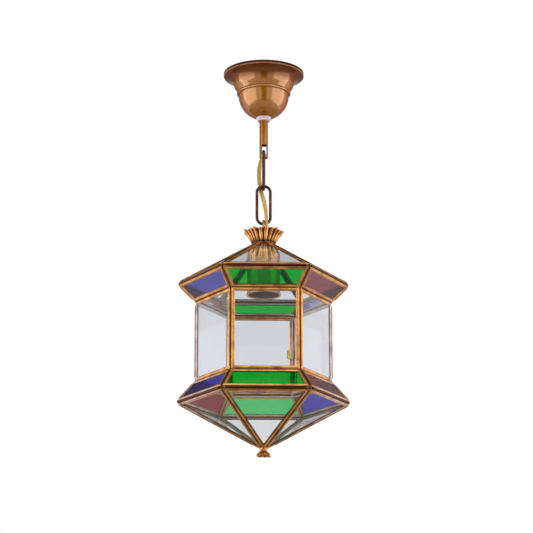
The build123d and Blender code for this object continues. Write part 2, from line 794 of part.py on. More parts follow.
# Lampholder: cap screwed to the nipple, body, screw sleeve and centre contact
holder_joint_z = holder_top_z - holder_cap_height
holder_low_z = holder_joint_z - holder_body_height
holder_floor_z = holder_joint_z - holder_floor
sleeve_radius = sleeve_bore + sleeve_wall
sleeve_length = holder_body_height - holder_floor - contact_height - 2 * sleeve_recess
with BuildPart() as lampholder_cap:
    neck_low_z = holder_top_z - holder_neck_height
    with BuildSketch(Plane.XZ):
        with BuildLine():
            Polyline(
                (nipple_radius + thread_gap, holder_top_z),
                (holder_neck_radius, holder_top_z),
                (holder_neck_radius, neck_low_z),
                (holder_radius, (neck_low_z + holder_joint_z) / 2),
                (holder_radius, holder_joint_z),
                (holder_radius - holder_cap_wall, holder_joint_z),
                (holder_radius - holder_cap_wall, (neck_low_z + holder_joint_z) / 2 - holder_cap_wall),
                (nipple_radius + thread_gap, neck_low_z - holder_cap_wall),
                close=True,
            )
        make_face()
    revolve(axis=Axis.Z)
keep(lampholder_cap.part, "lampholder_cap")

with BuildPart() as lampholder_body:
    with BuildSketch(Plane.XY.offset(holder_low_z)):
        Circle(holder_radius)
    extrude(amount=holder_body_height)
    with BuildSketch(Plane.XY.offset(holder_low_z)):
        Circle(sleeve_radius + thread_gap)
    extrude(amount=holder_body_height - holder_floor, mode=Mode.SUBTRACT)
keep(lampholder_body.part, "lampholder_body")

with BuildPart() as lampholder_sleeve:
    with BuildSketch(Plane.XY.offset(holder_low_z + sleeve_recess)):
        Circle(sleeve_radius)
        Circle(sleeve_bore, mode=Mode.SUBTRACT)
    extrude(amount=sleeve_length)
keep(lampholder_sleeve.part, "lampholder_sleeve")

with BuildPart() as centre_contact:
    with BuildSketch(Plane.XY.offset(holder_floor_z - contact_height)):
        Circle(contact_radius)
    extrude(amount=contact_height)
    fillet(centre_contact.edges().group_by(Axis.Z)[0], radius=contact_height / 2)
keep(centre_contact.part, "centre_contact")

# Base hub that joins the tips of the base, and the flower finial under it
base_hub_low_z = base_apex_z + base_drop * base_hub_radius / eave_radius - strip_rise
with BuildPart() as base_hub:
    with BuildSketch(Plane.XY.offset(base_hub_low_z)):
        Circle(base_hub_radius)
        Circle(finial_stud_radius + thread_gap, mode=Mode.SUBTRACT)
    extrude(amount=base_hub_height)
keep(base_hub.part, "base_hub")

with BuildPart() as finial:
    with BuildSketch(Plane.XY.offset(base_hub_low_z)):
        draw_face(pleat_outline(finial_petals, finial_neck_radius, finial_neck_fold))
    with BuildSketch(Plane.XY.offset(base_hub_low_z - finial_height)):
        draw_face(pleat_outline(finial_petals, finial_rim_radius, finial_rim_fold))
    loft(ruled=True)
    with BuildSketch(Plane.XY.offset(base_hub_low_z)):
        Circle(finial_stud_radius)
    extrude(amount=base_hub_height)
keep(finial.part, "finial")

# Flex: straight in the stem and in the nipple, free between them along its route
route = [Vector(x, y, stem_end_z + rise) for x, y, rise in cord_route]
cord_start = route[0]
cord_end = route[-1]
runs = [b - a for a, b in zip(route, route[1:])]
bend_radii = []
for before, after in zip(runs, runs[1:]):
    turn = before.get_angle(after)
    bend_radii.append(run_share * min(before.length, after.length) / tan(radians(turn / 2)))
with BuildPart() as free_cord:
    with BuildLine() as cord_line:
        FilletPolyline(route, radius=bend_radii)
    cord_path = cord_line.wire()
    with BuildSketch(Plane(origin=cord_path @ 0, z_dir=cord_path % 0)):
        Circle(cord_radius)
    sweep(path=cord_path)
cord_length = cord_path.length
print("bend radii of the flex:", [round(r, 1) for r in bend_radii])
print("length of the free flex:", round(cord_length, 2))
print("tube volume over section times length:", free_cord.part.volume / (pi * cord_radius**2 * cord_length))

upper_span_end = Plane.XY.offset(stem_end_z - upper_span_drop)
middle_span_end = Plane.XY.offset(stem_end_z - middle_span_drop)
for label, top, low in [
    ("cord_upper_span", None, upper_span_end),
    ("cord_middle_span", upper_span_end, middle_span_end),
    ("cord_lower_span", middle_span_end, None),
]:
    with BuildPart() as cord_span:
        add(free_cord.part)
        if top:
            split(bisect_by=top, keep=Keep.BOTTOM)
        if low:
            split(bisect_by=low, keep=Keep.TOP)
    keep(cord_span.part, label)

with BuildPart() as cord_in_stem:
    with BuildSketch(Plane.XY.offset(cord_start.Z)):
        with Locations((cord_start.X, cord_start.Y)):
            Circle(cord_radius)
    extrude(amount=stem_top_z - cord_start.Z)
keep(cord_in_stem.part, "cord_in_stem")

with BuildPart() as cord_in_lantern:
    with BuildSketch(Plane.XY.offset(holder_joint_z)):
        with Locations((cord_end.X, cord_end.Y)):
            Circle(cord_radius)
    extrude(amount=cord_end.Z - holder_joint_z)
keep(cord_in_lantern.part, "cord_in_lantern")

heights = {
    "upper link": upper_link_z,
    "lower link": lower_link_z,
    "eye": eye_z,
    "roof hub": hub_top_z,
    "eave": eave_z,
    "side middle": side_mid_z,
    "holder mouth": holder_low_z,
    "collar": collar_low_z,
    "finial": base_hub_low_z - finial_height,
}
for name, height in heights.items():
    print(f"{name} height: {height:.2f}")
print(f"door hinge axis: {hinge_x:.3f}, {hinge_y:.3f}")
print("pieces written:", len(parts_made))
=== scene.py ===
import json
from math import cos, pi, radians, sin, sqrt, tau

import bmesh
import bpy
from mathutils import Matrix, Vector


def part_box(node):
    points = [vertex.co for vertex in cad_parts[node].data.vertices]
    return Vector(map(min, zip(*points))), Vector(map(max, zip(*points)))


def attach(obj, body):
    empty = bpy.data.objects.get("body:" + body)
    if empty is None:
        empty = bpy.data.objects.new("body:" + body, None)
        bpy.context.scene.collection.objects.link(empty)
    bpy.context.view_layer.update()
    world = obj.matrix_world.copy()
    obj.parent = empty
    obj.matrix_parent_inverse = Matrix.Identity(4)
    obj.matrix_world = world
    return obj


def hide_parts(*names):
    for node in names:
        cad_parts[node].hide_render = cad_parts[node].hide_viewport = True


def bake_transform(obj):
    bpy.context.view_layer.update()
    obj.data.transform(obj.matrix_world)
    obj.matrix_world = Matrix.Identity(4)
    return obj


# Metres throughout, in the CAD's own frame: origin on the ceiling, +Z up, front to -Y
mm = 0.001
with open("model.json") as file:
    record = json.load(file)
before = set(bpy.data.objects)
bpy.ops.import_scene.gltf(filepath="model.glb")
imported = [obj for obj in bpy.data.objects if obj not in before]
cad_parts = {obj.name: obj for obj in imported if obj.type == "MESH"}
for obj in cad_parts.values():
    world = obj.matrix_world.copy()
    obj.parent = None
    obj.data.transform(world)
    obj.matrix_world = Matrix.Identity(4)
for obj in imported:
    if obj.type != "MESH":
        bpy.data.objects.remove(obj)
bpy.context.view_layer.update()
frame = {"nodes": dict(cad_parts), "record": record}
nodes = frame["nodes"]
scene = bpy.context.scene
scene.view_settings.view_transform = "Standard"


# Camera: the photograph's view, from in front and well below, looking up
camera_distance = 2.7588
camera_height = -1.0601
camera_side = 0.0041
camera_turn = radians(-1.835)
camera_pitch = radians(15.569)
camera_lens = 136.08

camera_data = bpy.data.cameras.new("photo_camera")
camera_data.lens = camera_lens
camera_data.sensor_width = 36
camera = bpy.data.objects.new("photo_camera", camera_data)
scene.collection.objects.link(camera)
camera_place = Vector((camera_side, -camera_distance, camera_height))
camera.location = Matrix.Rotation(camera_turn, 4, "Z") @ camera_place
camera.rotation_euler = (pi / 2 + camera_pitch, 0, camera_turn)
scene.camera = camera


# Small helpers for meshes and shader nodes


def add_mesh(name, verts, faces, smooth=True):
    """Makes a mesh object from lists of points and faces."""
    mesh = bpy.data.meshes.new(name)
    mesh.from_pydata([tuple(v) for v in verts], [], faces)
    mesh.validate()
    made = bpy.data.objects.new(name, mesh)
    scene.collection.objects.link(made)
    work = bmesh.new()
    work.from_mesh(mesh)
    bmesh.ops.recalc_face_normals(work, faces=work.faces)
    work.to_mesh(mesh)
    work.free()
    for face in mesh.polygons:
        face.use_smooth = smooth
    return made


def grid_faces(rows, columns):
    """Quads over a grid of points stored row by row, closed round its columns."""
    faces = []
    for row in range(rows - 1):
        for column in range(columns):
            beside = (column + 1) % columns
            low = row * columns
            high = low + columns
            faces.append((low + column, low + beside, high + beside, high + column))
    return faces


class NodeTree:
    """A tree of shader nodes, with short calls for the nodes used here."""

    def __init__(self, tree):
        self.tree = tree

    def node(self, kind, inputs=(), **settings):
        """Adds a node; its inputs are pairs of a socket and a value or another node's socket."""
        made = self.tree.nodes.new(kind)
        for setting, value in settings.items():
            setattr(made, setting, value)
        for socket, value in inputs:
            if isinstance(value, bpy.types.NodeSocket):
                self.tree.links.new(value, made.inputs[socket])
            else:
                made.inputs[socket].default_value = value
        return made

    def math(self, operation, a, b=0.0):
        return self.node("ShaderNodeMath", [(0, a), (1, b)], operation=operation).outputs[0]

    def vector_math(self, operation, a, b=(0, 0, 0)):
        return self.node("ShaderNodeVectorMath", [(0, a), (1, b)], operation=operation).outputs

    def axes(self, vector):
        return self.node("ShaderNodeSeparateXYZ", [(0, vector)]).outputs

    def span(self, value, low, high, to_low=0.0, to_high=1.0):
        """Maps a range of values smoothly to another."""
        values = [("Value", value), ("From Min", low), ("From Max", high)]
        values += [("To Min", to_low), ("To Max", to_high)]
        return self.node("ShaderNodeMapRange", values, interpolation_type="SMOOTHSTEP").outputs[0]


class Shader(NodeTree):
    """A material's node tree, with short calls for its surface."""

    def __init__(self, name, **sockets):
        self.material = bpy.data.materials.new(name)
        self.material.use_nodes = True
        super().__init__(self.material.node_tree)
        self.principled = self.tree.nodes["Principled BSDF"]
        for socket, value in sockets.items():
            self.principled.inputs[socket.replace("_", " ")].default_value = value

    def coordinates(self, output="Object", stretch=(1, 1, 1)):
        source = self.node("ShaderNodeTexCoord").outputs[output]
        if stretch == (1, 1, 1):
            return source
        return self.node("ShaderNodeMapping", [("Vector", source), ("Scale", stretch)]).outputs[0]

    def noise(self, size, detail=3.0, stretch=(1, 1, 1)):
        """Cloudy noise whose lumps are about that size in metres."""
        values = [("Vector", self.coordinates(stretch=stretch)), ("Scale", 1 / size), ("Detail", detail)]
        return self.node("ShaderNodeTexNoise", values).outputs[0]

    def mix(self, share, a, b):
        """Colour between two colours, each given as three numbers or a socket."""
        values = [(0, share)]
        for socket, colour in ((6, a), (7, b)):
            values.append((socket, colour if isinstance(colour, bpy.types.NodeSocket) else (*colour, 1)))
        return self.node("ShaderNodeMix", values, data_type="RGBA").outputs[2]

    def sideways(self):
        """Distance of the point from the middle, to either side, in metres."""
        return self.math("ABSOLUTE", self.axes(self.coordinates())[0])

    def height(self):
        """Height of the point above the ceiling, in metres."""
        return self.axes(self.coordinates())[2]

    def facing(self, centre):
        """Cosine between the surface and the way out from a centre point: below 0 on inner sides."""
        away = self.vector_math("SUBTRACT", self.coordinates(), centre)[0]
        unit = self.vector_math("NORMALIZE", away)[0]
        return self.vector_math("DOT_PRODUCT", unit, self.coordinates("Normal"))["Value"]

    def ridge(self, level, up):
        """Cosine between the surface and the face of a six-sided ring that it lies on, either way round."""
        x, y, z = self.axes(self.coordinates("Normal"))
        reach = self.math("SQRT", self.math("ADD", self.math("MULTIPLY", x, x), self.math("MULTIPLY", y, y)))
        turn = self.math("ARCTAN2", x, y)
        half_side = pi / 6
        limits = [(0, turn), (1, half_side), (2, -half_side)]
        wrapped = self.node("ShaderNodeMath", limits, operation="WRAP").outputs[0]
        across = self.math("MULTIPLY", self.math("MULTIPLY", reach, self.math("COSINE", wrapped)), level)
        return self.math("ADD", across, self.math("ABSOLUTE", self.math("MULTIPLY", z, up)))

    def crevice(self, reach):
        """1 in corners narrower than the reach, 0 on open faces."""
        shade = self.node("ShaderNodeAmbientOcclusion", [("Distance", reach)], samples=6).outputs["AO"]
        return self.span(shade, 0.85, 0.3)

    def set(self, socket, value):
        self.tree.links.new(value, self.principled.inputs[socket])

    def bump(self, height, strength, depth):
        values = [("Height", height), ("Strength", strength), ("Distance", depth)]
        self.set("Normal", self.node("ShaderNodeBump", values).outputs[0])


# Materials


def bronze_lacquer(name, rim_height=None, edge_from=0.5):
    """Glossy brown-gold lacquer, with a dark rim above the given height, a painted highlight line under it and
    painted shade on the flare below.

    edge_from is the slant from which painted shade darkens it towards its edges."""
    amber = (0.375, 0.12, 0.001)
    light_amber = (0.415, 0.14, 0.002)
    edge_painted_shade = (0.1, 0.018, 0.002)
    flare_painted_shade = (0.13, 0.028, 0.003)
    rim_painted_highlight = (0.55, 0.26, 0.11)
    rim_brown = (0.06, 0.013, 0.009)
    flare_shade_share = 0.88
    paint = Shader(name, Metallic=0.5, Roughness=0.24, Specular_IOR_Level=0.05, Coat_IOR=1.8, Coat_Roughness=0.02)
    paint.principled.inputs["Specular Tint"].default_value = (0.3, 0.1, 0.03, 1)
    cloud = paint.noise(30 * mm)
    colour = paint.mix(paint.span(cloud, 0.3, 0.7), amber, light_amber)
    # Painted shade: the lacquer is painted dark red towards its edges as seen from the camera, and loses its shine
    # there
    slant = paint.node("ShaderNodeLayerWeight").outputs["Facing"]
    shine = paint.span(slant, edge_from - 0.2, edge_from + 0.1, 1.0, 0.2)
    colour = paint.mix(paint.span(slant, edge_from, edge_from + 0.4), colour, edge_painted_shade)
    if rim_height is not None:
        height = paint.height()
        # Painted highlight: a bright gold line under the rim, for light catching its rolled edge
        line = paint.span(height, rim_height - 1.5 * mm, rim_height - 0.7 * mm)
        rim = paint.span(height, rim_height - 0.3 * mm, rim_height + 0.3 * mm)
        # Painted shade: the flare under the rim is painted dark brown, with its coat dimmed
        flare = paint.span(height, rim_height - 20 * mm, rim_height - 7 * mm, 0.0, flare_shade_share)
        colour = paint.mix(flare, colour, flare_painted_shade)
        colour = paint.mix(line, colour, rim_painted_highlight)
        colour = paint.mix(rim, colour, rim_brown)
        shine = paint.math("MULTIPLY", shine, paint.span(flare, 0.0, flare_shade_share, 1.0, 0.35))
        shine = paint.math("MULTIPLY", shine, paint.math("SUBTRACT", 1.0, rim))
    paint.set("Base Color", colour)
    paint.set("Coat Weight", shine)
    paint.bump(paint.noise(6 * mm, 1.0), 0.015, 0.1 * mm)
    return paint.material


def worn_iron():
    """Dark browned iron wire, rubbed through to brass colour in patches."""
    iron = Shader("dark_iron", Metallic=0.85)
    patches = iron.noise(9 * mm, 4.0)
    grain = iron.noise(1.6 * mm, 2.0)
    worn = iron.span(iron.math("ADD", patches, iron.math("MULTIPLY", grain, 0.2)), 0.62, 0.8)
    iron.set("Base Color", iron.mix(worn, (0.07, 0.03, 0.027), (0.24, 0.11, 0.045)))
    iron.set("Roughness", iron.span(grain, 0.3, 0.7, 0.3, 0.45))
    iron.bump(grain, 0.15, 0.15 * mm)
    return iron.material


def antique_brass(
    name, bright, dark, reach, ridge=None, tinned_from=None, painted_sheen=None, satin=0.26, stained=None, shaded_valleys=False
):
    """Brass with brown patina in clouds, darker in its corners.

    reach is the width of the corners that darken. ridge is the level and upward part of the way that the
    faces look, and how dark the painted shade lines beside their bright ridges are. tinned_from is the centre
    point whose side is tinned. painted_sheen is where a painted pale reflection starts and is full, by
    distance sideways, its share and its colour. satin is the least roughness, stained a low and a high
    height between which painted shade fades. shaded_valleys paints shade into a folded sheet's valleys, its crests
    left bright."""
    brass = Shader(name, Metallic=1.0 if ridge is None else 0.85)
    cloud = brass.noise(14 * mm, 4.0)
    fleck = brass.noise(2.2 * mm, 3.0)
    age = brass.span(brass.math("ADD", cloud, brass.math("MULTIPLY", fleck, 0.45)), 0.56, 1.06)
    half_dark = [sqrt(b * d) for b, d in zip(bright, dark)]
    colour = brass.mix(age, bright, half_dark)
    if tinned_from is not None:
        inner = brass.span(brass.facing(tinned_from), -0.3, -0.5)
        tin = brass.mix(cloud, (0.55, 0.5, 0.47), (0.9, 0.86, 0.83))
        colour = brass.mix(inner, colour, tin)
    if ridge is not None:
        # Painted shade: dark lines on each strip's flanks beside its ridge, for the rounded strip turning from the
        # light
        *faces, line = ridge
        ridge_cosine = brass.ridge(*faces)
        off_ridge = brass.span(ridge_cosine, 0.985, 0.955)
        flank_shade = brass.math("MULTIPLY", off_ridge, brass.span(ridge_cosine, 0.82, 0.9, 0.0, line))
        colour = brass.mix(flank_shade, colour, dark)
    if painted_sheen is not None:
        # Painted reflection: strips far out to either side are painted pale, for the backdrop and lamps shining off
        # them
        start, full, share, sheen_tint = painted_sheen
        sheen_colour = brass.mix(age, sheen_tint, [0.4 * part for part in sheen_tint])
        colour = brass.mix(brass.span(brass.sideways(), start, full, 0.0, share), colour, sheen_colour)
    colour = brass.mix(brass.crevice(reach), colour, dark)
    if stained is not None:
        # Painted shade: darker below the given heights
        low, high = stained
        colour = brass.mix(brass.span(brass.height(), high, low), colour, dark)
    if shaded_valleys:
        # Painted shade: the valleys between the folds are painted dark, leaving the crests bright
        crest = brass.node("ShaderNodeAttribute", attribute_name="crest").outputs["Fac"]
        colour = brass.mix(brass.span(crest, 0.95, 0.5), colour, dark)
    brass.set("Base Color", colour)
    brass.set("Roughness", brass.span(fleck, 0.3, 0.75, satin, satin + 0.16))
    brass.bump(fleck, 0.1, 0.15 * mm)
    return brass.material


def cover_brass(mouth_centre):
    """Satin brass drawn down in faint streaks, dull grey inside the cup."""
    brass = Shader("cover_brass", Metallic=0.7)
    streak = brass.noise(5 * mm, 3.0, stretch=(1, 1, 0.05))
    fleck = brass.noise(1.5 * mm, 2.0)
    colour = brass.mix(brass.span(streak, 0.3, 0.7), (0.64, 0.40, 0.17), (0.76, 0.52, 0.26))
    inner = brass.span(brass.facing(mouth_centre), 0.0, -0.2)
    # The rolled rim is brass all round
    above_rim = brass.span(brass.height(), mouth_centre[2] + 2 * mm, mouth_centre[2] + 3 * mm)
    inner = brass.math("MULTIPLY", inner, above_rim)
    brass.set("Base Color", brass.mix(inner, colour, (0.42, 0.31, 0.27)))
    brass.set("Roughness", brass.span(streak, 0.3, 0.7, 0.4, 0.5))
    brass.bump(brass.math("ADD", streak, brass.math("MULTIPLY", fleck, 0.2)), 0.08, 0.3 * mm)
    return brass.material


def pane_glass(name, pale, deep):
    """Drawn glass: clear or coloured through, with a slow ripple and a slight change of tint."""
    glass = Shader(name, Transmission_Weight=1.0, Roughness=0.0, IOR=1.44)
    cloud = glass.noise(60 * mm, 2.0)
    glass.set("Base Color", glass.mix(cloud, pale, deep))
    glass.bump(glass.noise(50 * mm, 1.0), 0.05, 0.2 * mm)
    return glass.material


def plain_finish(name, colour, other, size, roughness, metallic=0.0, grain=0.1):
    """A finish with a fine mottle between two colours and a light grain."""
    finish = Shader(name, Metallic=metallic)
    mottle = finish.noise(size, 3.0)
    finish.set("Base Color", finish.mix(mottle, colour, other))
    finish.set("Roughness", finish.span(mottle, 0.3, 0.7, roughness * 0.85, roughness * 1.15))
    finish.bump(mottle, grain, 0.1 * mm)
    return finish.material


side_low, side_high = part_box("side_strips")
lantern_centre = (0, 0, (side_low[2] + side_high[2]) / 2)
cover_low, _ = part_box("holder_cover")
cover_mouth = (0, 0, cover_low[2])

came_bright = (0.98, 0.48, 0.145)
came_dark = (0.085, 0.023, 0.011)
came_reach = 2.5 * mm
crown_bright = (0.74, 0.38, 0.135)
crown_dark = (0.085, 0.02, 0.01)
crown_gold = (0.98, 0.485, 0.16)
materials = {
    "bronze_lacquer": bronze_lacquer("bronze_lacquer"),
    "dark_iron": worn_iron(),
    "antique_brass": antique_brass("antique_brass", came_bright, came_dark, came_reach),
    "crown_brass": antique_brass("crown_brass", crown_bright, crown_dark, came_reach, satin=0.3),
    "aged_solder": antique_brass("aged_solder", (0.12, 0.045, 0.02), came_dark, came_reach),
    "cover_brass": cover_brass(cover_mouth),
    "clear_glass": pane_glass("clear_glass", (0.80, 0.81, 0.845), (0.84, 0.85, 0.88)),
    "green_glass": pane_glass("green_glass", (0.012, 0.46, 0.038), (0.008, 0.38, 0.03)),
    "red_glass": pane_glass("red_glass", (0.27, 0.05, 0.065), (0.21, 0.036, 0.048)),
    "blue_glass": pane_glass("blue_glass", (0.088, 0.068, 0.43), (0.068, 0.052, 0.35)),
    "gold_flex": plain_finish("gold_flex", (0.47, 0.285, 0.058), (0.52, 0.32, 0.068), 12 * mm, 0.36, grain=0.0),
    "pale_collar": plain_finish("pale_collar", (0.63, 0.51, 0.54), (0.67, 0.55, 0.58), 10 * mm, 0.3, grain=0.01),
    "zinc_steel": plain_finish("zinc_steel", (0.5, 0.5, 0.47), (0.62, 0.61, 0.57), 8 * mm, 0.38, 1.0),
    "plain_brass": plain_finish("plain_brass", (0.60, 0.38, 0.13), (0.68, 0.46, 0.18), 5 * mm, 0.36, 0.8),
    "white_plastic": plain_finish("white_plastic", (0.74, 0.73, 0.69), (0.8, 0.79, 0.76), 2 * mm, 0.5),
    "black_plastic": plain_finish("black_plastic", (0.05, 0.046, 0.042), (0.065, 0.06, 0.055), 2 * mm, 0.4),
    "core_insulation": plain_finish("core_insulation", (0.16, 0.07, 0.03), (0.2, 0.09, 0.04), 4 * mm, 0.4),
}

# Finishes of single pieces; the lower panes' glass is deeper or paler than the same colour above
canopy_rim_height = -3.4 * mm
lower_green = pane_glass("lower_green_glass", (0.075, 0.52, 0.14), (0.06, 0.47, 0.115))
lower_red = pane_glass("lower_red_glass", (0.26, 0.02, 0.03), (0.2, 0.015, 0.022))
lower_blue = pane_glass("lower_blue_glass", (0.05, 0.04, 0.41), (0.038, 0.03, 0.33))
own_finish = {
    "canopy": bronze_lacquer("canopy_lacquer", canopy_rim_height),
    "stem_tube": bronze_lacquer("stem_lacquer", edge_from=0.2),
    "base_panes": pane_glass("base_glass", (0.93, 0.94, 0.96), (0.95, 0.96, 0.98)),
    "lower_green_pane_back": lower_green,
    "lower_red_pane_back_left": lower_red,
    "lower_red_pane_front_right": lower_red,
    "lower_blue_pane_back_right": lower_blue,
    "lower_blue_pane_front_left": lower_blue,
    # The roof hub under the crown is painted dark brown, as painted shadow at the crown's base
    "roof_hub": antique_brass("hub_shaded_brass", (0.16, 0.07, 0.028), came_dark, came_reach),
}

# Each ring of strips knows the way its faces look, from their rise and run in mm, so painted shade darkens the
# flanks beside its ridges and these come out bright
eave_reach = 105.0
side_reach = 82.3
eave_run = eave_reach - side_reach
# Painted reflections: pale grey on the corner posts at either side, pale rose on the lower strips at either side
corner_painted_reflection = (90.5 * mm, 91.5 * mm, 0.8, (0.46, 0.43, 0.45))
rosy_painted_highlight = (60 * mm, 80 * mm, 0.75, (0.95, 0.62, 0.48))
for name, rise, run, line, painted_sheen in (
    ("roof_strips", 65.5, eave_reach, 0.3, None),
    ("upper_skirt_strips", 26.0, -eave_run, 0.6, None),
    ("side_strips", 1, 0, 0.35, corner_painted_reflection),
    ("door_jamb", 1, 0, 0.35, None),
    ("door_strips", 1, 0, 0.35, None),
    ("lower_skirt_strips", 29.4, eave_run, 0.35, rosy_painted_highlight),
    ("base_strips", 65.8, -eave_reach, 0.9, rosy_painted_highlight),
):
    slope = sqrt(rise**2 + run**2)
    tinned_from = None if name.startswith("door") else lantern_centre
    own_finish[name] = antique_brass(
        name, came_bright, came_dark, came_reach, (rise / slope, run / slope, line), tinned_from, painted_sheen
    )

slot_of = {part["node"]: part["material_slot"] for part in frame["record"]["subparts"]}
for name, node in nodes.items():
    node.data.materials.clear()
    node.data.materials.append(own_finish.get(name, materials[slot_of[name]]))


def dress(piece, slot, finish=None):
    """Gives a new piece the finish of one of the record's slots, or a finish of its own."""
    piece.data.materials.append(finish or materials[slot])


# Flex: a flat twin flex along the route, which twists so that it slips past the links and the eye

# The route's points are x, y and the height above the stem's end, in millimetres
cord_route = [
    (-3.9, 0.0, 5.0),
    (-3.9, 0.0, -2.0),
    (-5.5, 0.5, -10.0),
    (-6.7, 1.6, -20.0),
    (-6.5, 3.4, -31.0),
    (-5.0, 5.1, -41.0),
    (-3.2, 4.8, -51.0),
    (-0.6, 2.0, -61.0),
    (1.5, -1.3, -71.0),
    (2.9, -4.1, -82.0),
    (3.8, -5.4, -93.0),
    (4.0, -4.8, -103.0),
    (2.9, -2.6, -112.0),
    (1.0, -0.7, -119.0),
    (0.0, 0.0, -124.5),
    (0.0, 0.0, -129.5),
]
stem_low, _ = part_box("stem_tube")
stem_end = stem_low[2]
cord_radius = 1.6 * mm
cord_width = 6.0 * mm
core_offset = cord_width / 2 - cord_radius
# Heights where the flex's wide side turns, and its angles in degrees: across the stem, to the front, across the eye
turn_heights = [
    (stem_end + 2 * mm, 90),
    (stem_end - 17 * mm, 0),
    (stem_end - 67 * mm, 0),
    (stem_end - 88 * mm, 55),
]
span_ends = [stem_end - 34 * mm, stem_end - 77 * mm]


def smooth_step(share):
    """Eases a share between 0 and 1 in and out."""
    share = min(max(share, 0.0), 1.0)
    return share * share * (3 - 2 * share)


def cord_turn(height):
    """Angle of the flex's wide side at a height, in radians."""
    angle = turn_heights[0][1]
    for (z0, a0), (z1, a1) in zip(turn_heights, turn_heights[1:]):
        if height < z0:
            angle = a0 + (a1 - a0) * smooth_step((z0 - height) / (z0 - z1))
    return radians(angle)


def read_route():
    """Points along the smooth curve that the route's points control."""
    curve = bpy.data.curves.new("cord_route", "CURVE")
    curve.dimensions = "3D"
    spline = curve.splines.new("NURBS")
    spline.points.add(len(cord_route) - 1)
    for point, place in zip(spline.points, cord_route):
        x, y, rise = place
        point.co = (x * mm, y * mm, stem_end + rise * mm, 1)
    spline.order_u = 3
    spline.use_endpoint_u = True
    spline.resolution_u = 10
    holder = bpy.data.objects.new("cord_route", curve)
    scene.collection.objects.link(holder)
    line = bpy.data.meshes.new_from_object(holder)
    points = [vertex.co.copy() for vertex in line.vertices]
    bpy.data.objects.remove(holder)
    bpy.data.meshes.remove(line)
    return points


def cut_route(points, top, low):
    """The stretch of a falling line between two heights, with its ends cut exactly there."""
    kept = []
    for a, b in zip(points, points[1:]):
        for height in (top, low):
            if height is not None and b.z < height < a.z:
                kept.append(a.lerp(b, (a.z - height) / (a.z - b.z)))
        inside = (top is None or b.z < top) and (low is None or b.z > low)
        if inside:
            kept.append(b.copy())
    if top is None:
        kept.insert(0, points[0].copy())
    return sorted(kept, key=lambda point: -point.z)


def flex_section(count=28):
    """Outline of two round cores side by side with a groove between them."""
    groove_width = 0.3
    groove_depth = 0.3
    outline = []
    for i in range(count):
        angle = tau * i / count
        side = 1 if cos(angle) >= 0 else -1
        beside_groove = abs(cos(angle)) / groove_width
        wide = side * core_offset * min(1, beside_groove) + cord_radius * cos(angle)
        thick = cord_radius * (1 - groove_depth * max(0.0, 1 - beside_groove)) * sin(angle)
        outline.append((wide, thick))
    return outline


def make_flex(name, path):
    """A tube of the flex's section along a path."""
    section = flex_section()
    verts = []
    for i, point in enumerate(path):
        before = path[max(i - 1, 0)]
        after = path[min(i + 1, len(path) - 1)]
        along = (after - before).normalized()
        angle = cord_turn(point.z)
        wide = Vector((cos(angle), sin(angle), 0))
        wide = (wide - along * wide.dot(along)).normalized()
        flat = along.cross(wide)
        verts += [point + wide * u + flat * v for u, v in section]
    count = len(section)
    faces = grid_faces(len(path), count)
    faces.append(tuple(range(count)))
    faces.append(tuple(len(verts) - count + i for i in range(count)))
    return add_mesh(name, verts, faces)


route_line = read_route()
flex_spans = [
    ("flex_upper", "cord_upper_span", "ceiling_mount", "upper_link", None, span_ends[0]),
    ("flex_middle", "cord_middle_span", "upper_link", "lower_link", span_ends[0], span_ends[1]),
    ("flex_lower", "cord_lower_span", "lower_link", "lantern", span_ends[1], None),
]
for name, node, above, below, top, low in flex_spans:
    path = cut_route(route_line, top, low)
    flex = make_flex(name, path)
    dress(flex, "gold_flex")
    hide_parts(node)
    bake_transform(flex)


# Crown and finial: gathered brass sheet with rounded, slightly uneven folds


def wobble(index, seed):
    """A steady number between -1 and 1 for each fold."""
    value = sin(index * 12.9898 + seed * 78.233) * 43758.5453
    return 2 * (value - int(value // 1)) - 1


def make_ruffle(name, folds, neck, rim, sheet, flare, rows=20, per_fold=16):
    """A flared ruffle of round lobes: neck and rim are (radius, fold depth, height) in metres."""
    uneven_reach = 0.25
    uneven_turn = 0.3
    valley_drop = 0.16
    uneven_drop = 0.09
    columns = folds * per_fold
    rise = rim[2] - neck[2]
    verts = []
    crests = []
    for row in range(rows):
        share = row / (rows - 1)
        depth = neck[1] + (rim[1] - neck[1]) * share
        base = neck[0] + (rim[0] - neck[0]) * flare(share)
        for column in range(columns):
            fold = column // per_fold
            across = (column % per_fold) / per_fold
            # Lobes are wide and round, the valleys between them narrow
            lobe = sin(pi * across)
            size = wobble(fold, 2)
            radius = base - depth * (1 - lobe) - depth * uneven_reach * (1 + size) * lobe * share
            tip = smooth_step((share - 0.5) / 0.5)
            drop = rise * tip * (valley_drop * (1 - lobe) + uneven_drop * (1 + wobble(fold, 1)) * lobe)
            start = fold + uneven_turn * wobble(fold, 3)
            end = fold + 1 + uneven_turn * wobble((fold + 1) % folds, 3)
            angle = tau * (start + (end - start) * across) / folds
            verts.append((radius * cos(angle), radius * sin(angle), neck[2] + rise * share - drop))
            crests.append(lobe)
    ruffle = add_mesh(name, verts, grid_faces(rows, columns))
    ruffle.data.attributes.new("crest", "FLOAT", "POINT").data.foreach_set("value", crests)
    thick = ruffle.modifiers.new("sheet", "SOLIDIFY")
    thick.thickness = sheet
    thick.offset = 0
    return ruffle


crown_low, crown_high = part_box("crown")
crown_ruffle = make_ruffle(
    "crown_ruffle",
    folds=20,
    neck=(16.8 * mm, 1.9 * mm, crown_low[2] + 0.3 * mm),
    rim=(crown_high[0] - 0.5 * mm, 4.6 * mm, crown_high[2] - 0.2 * mm),
    sheet=1.1 * mm,
    flare=lambda share: share**1.15,
)
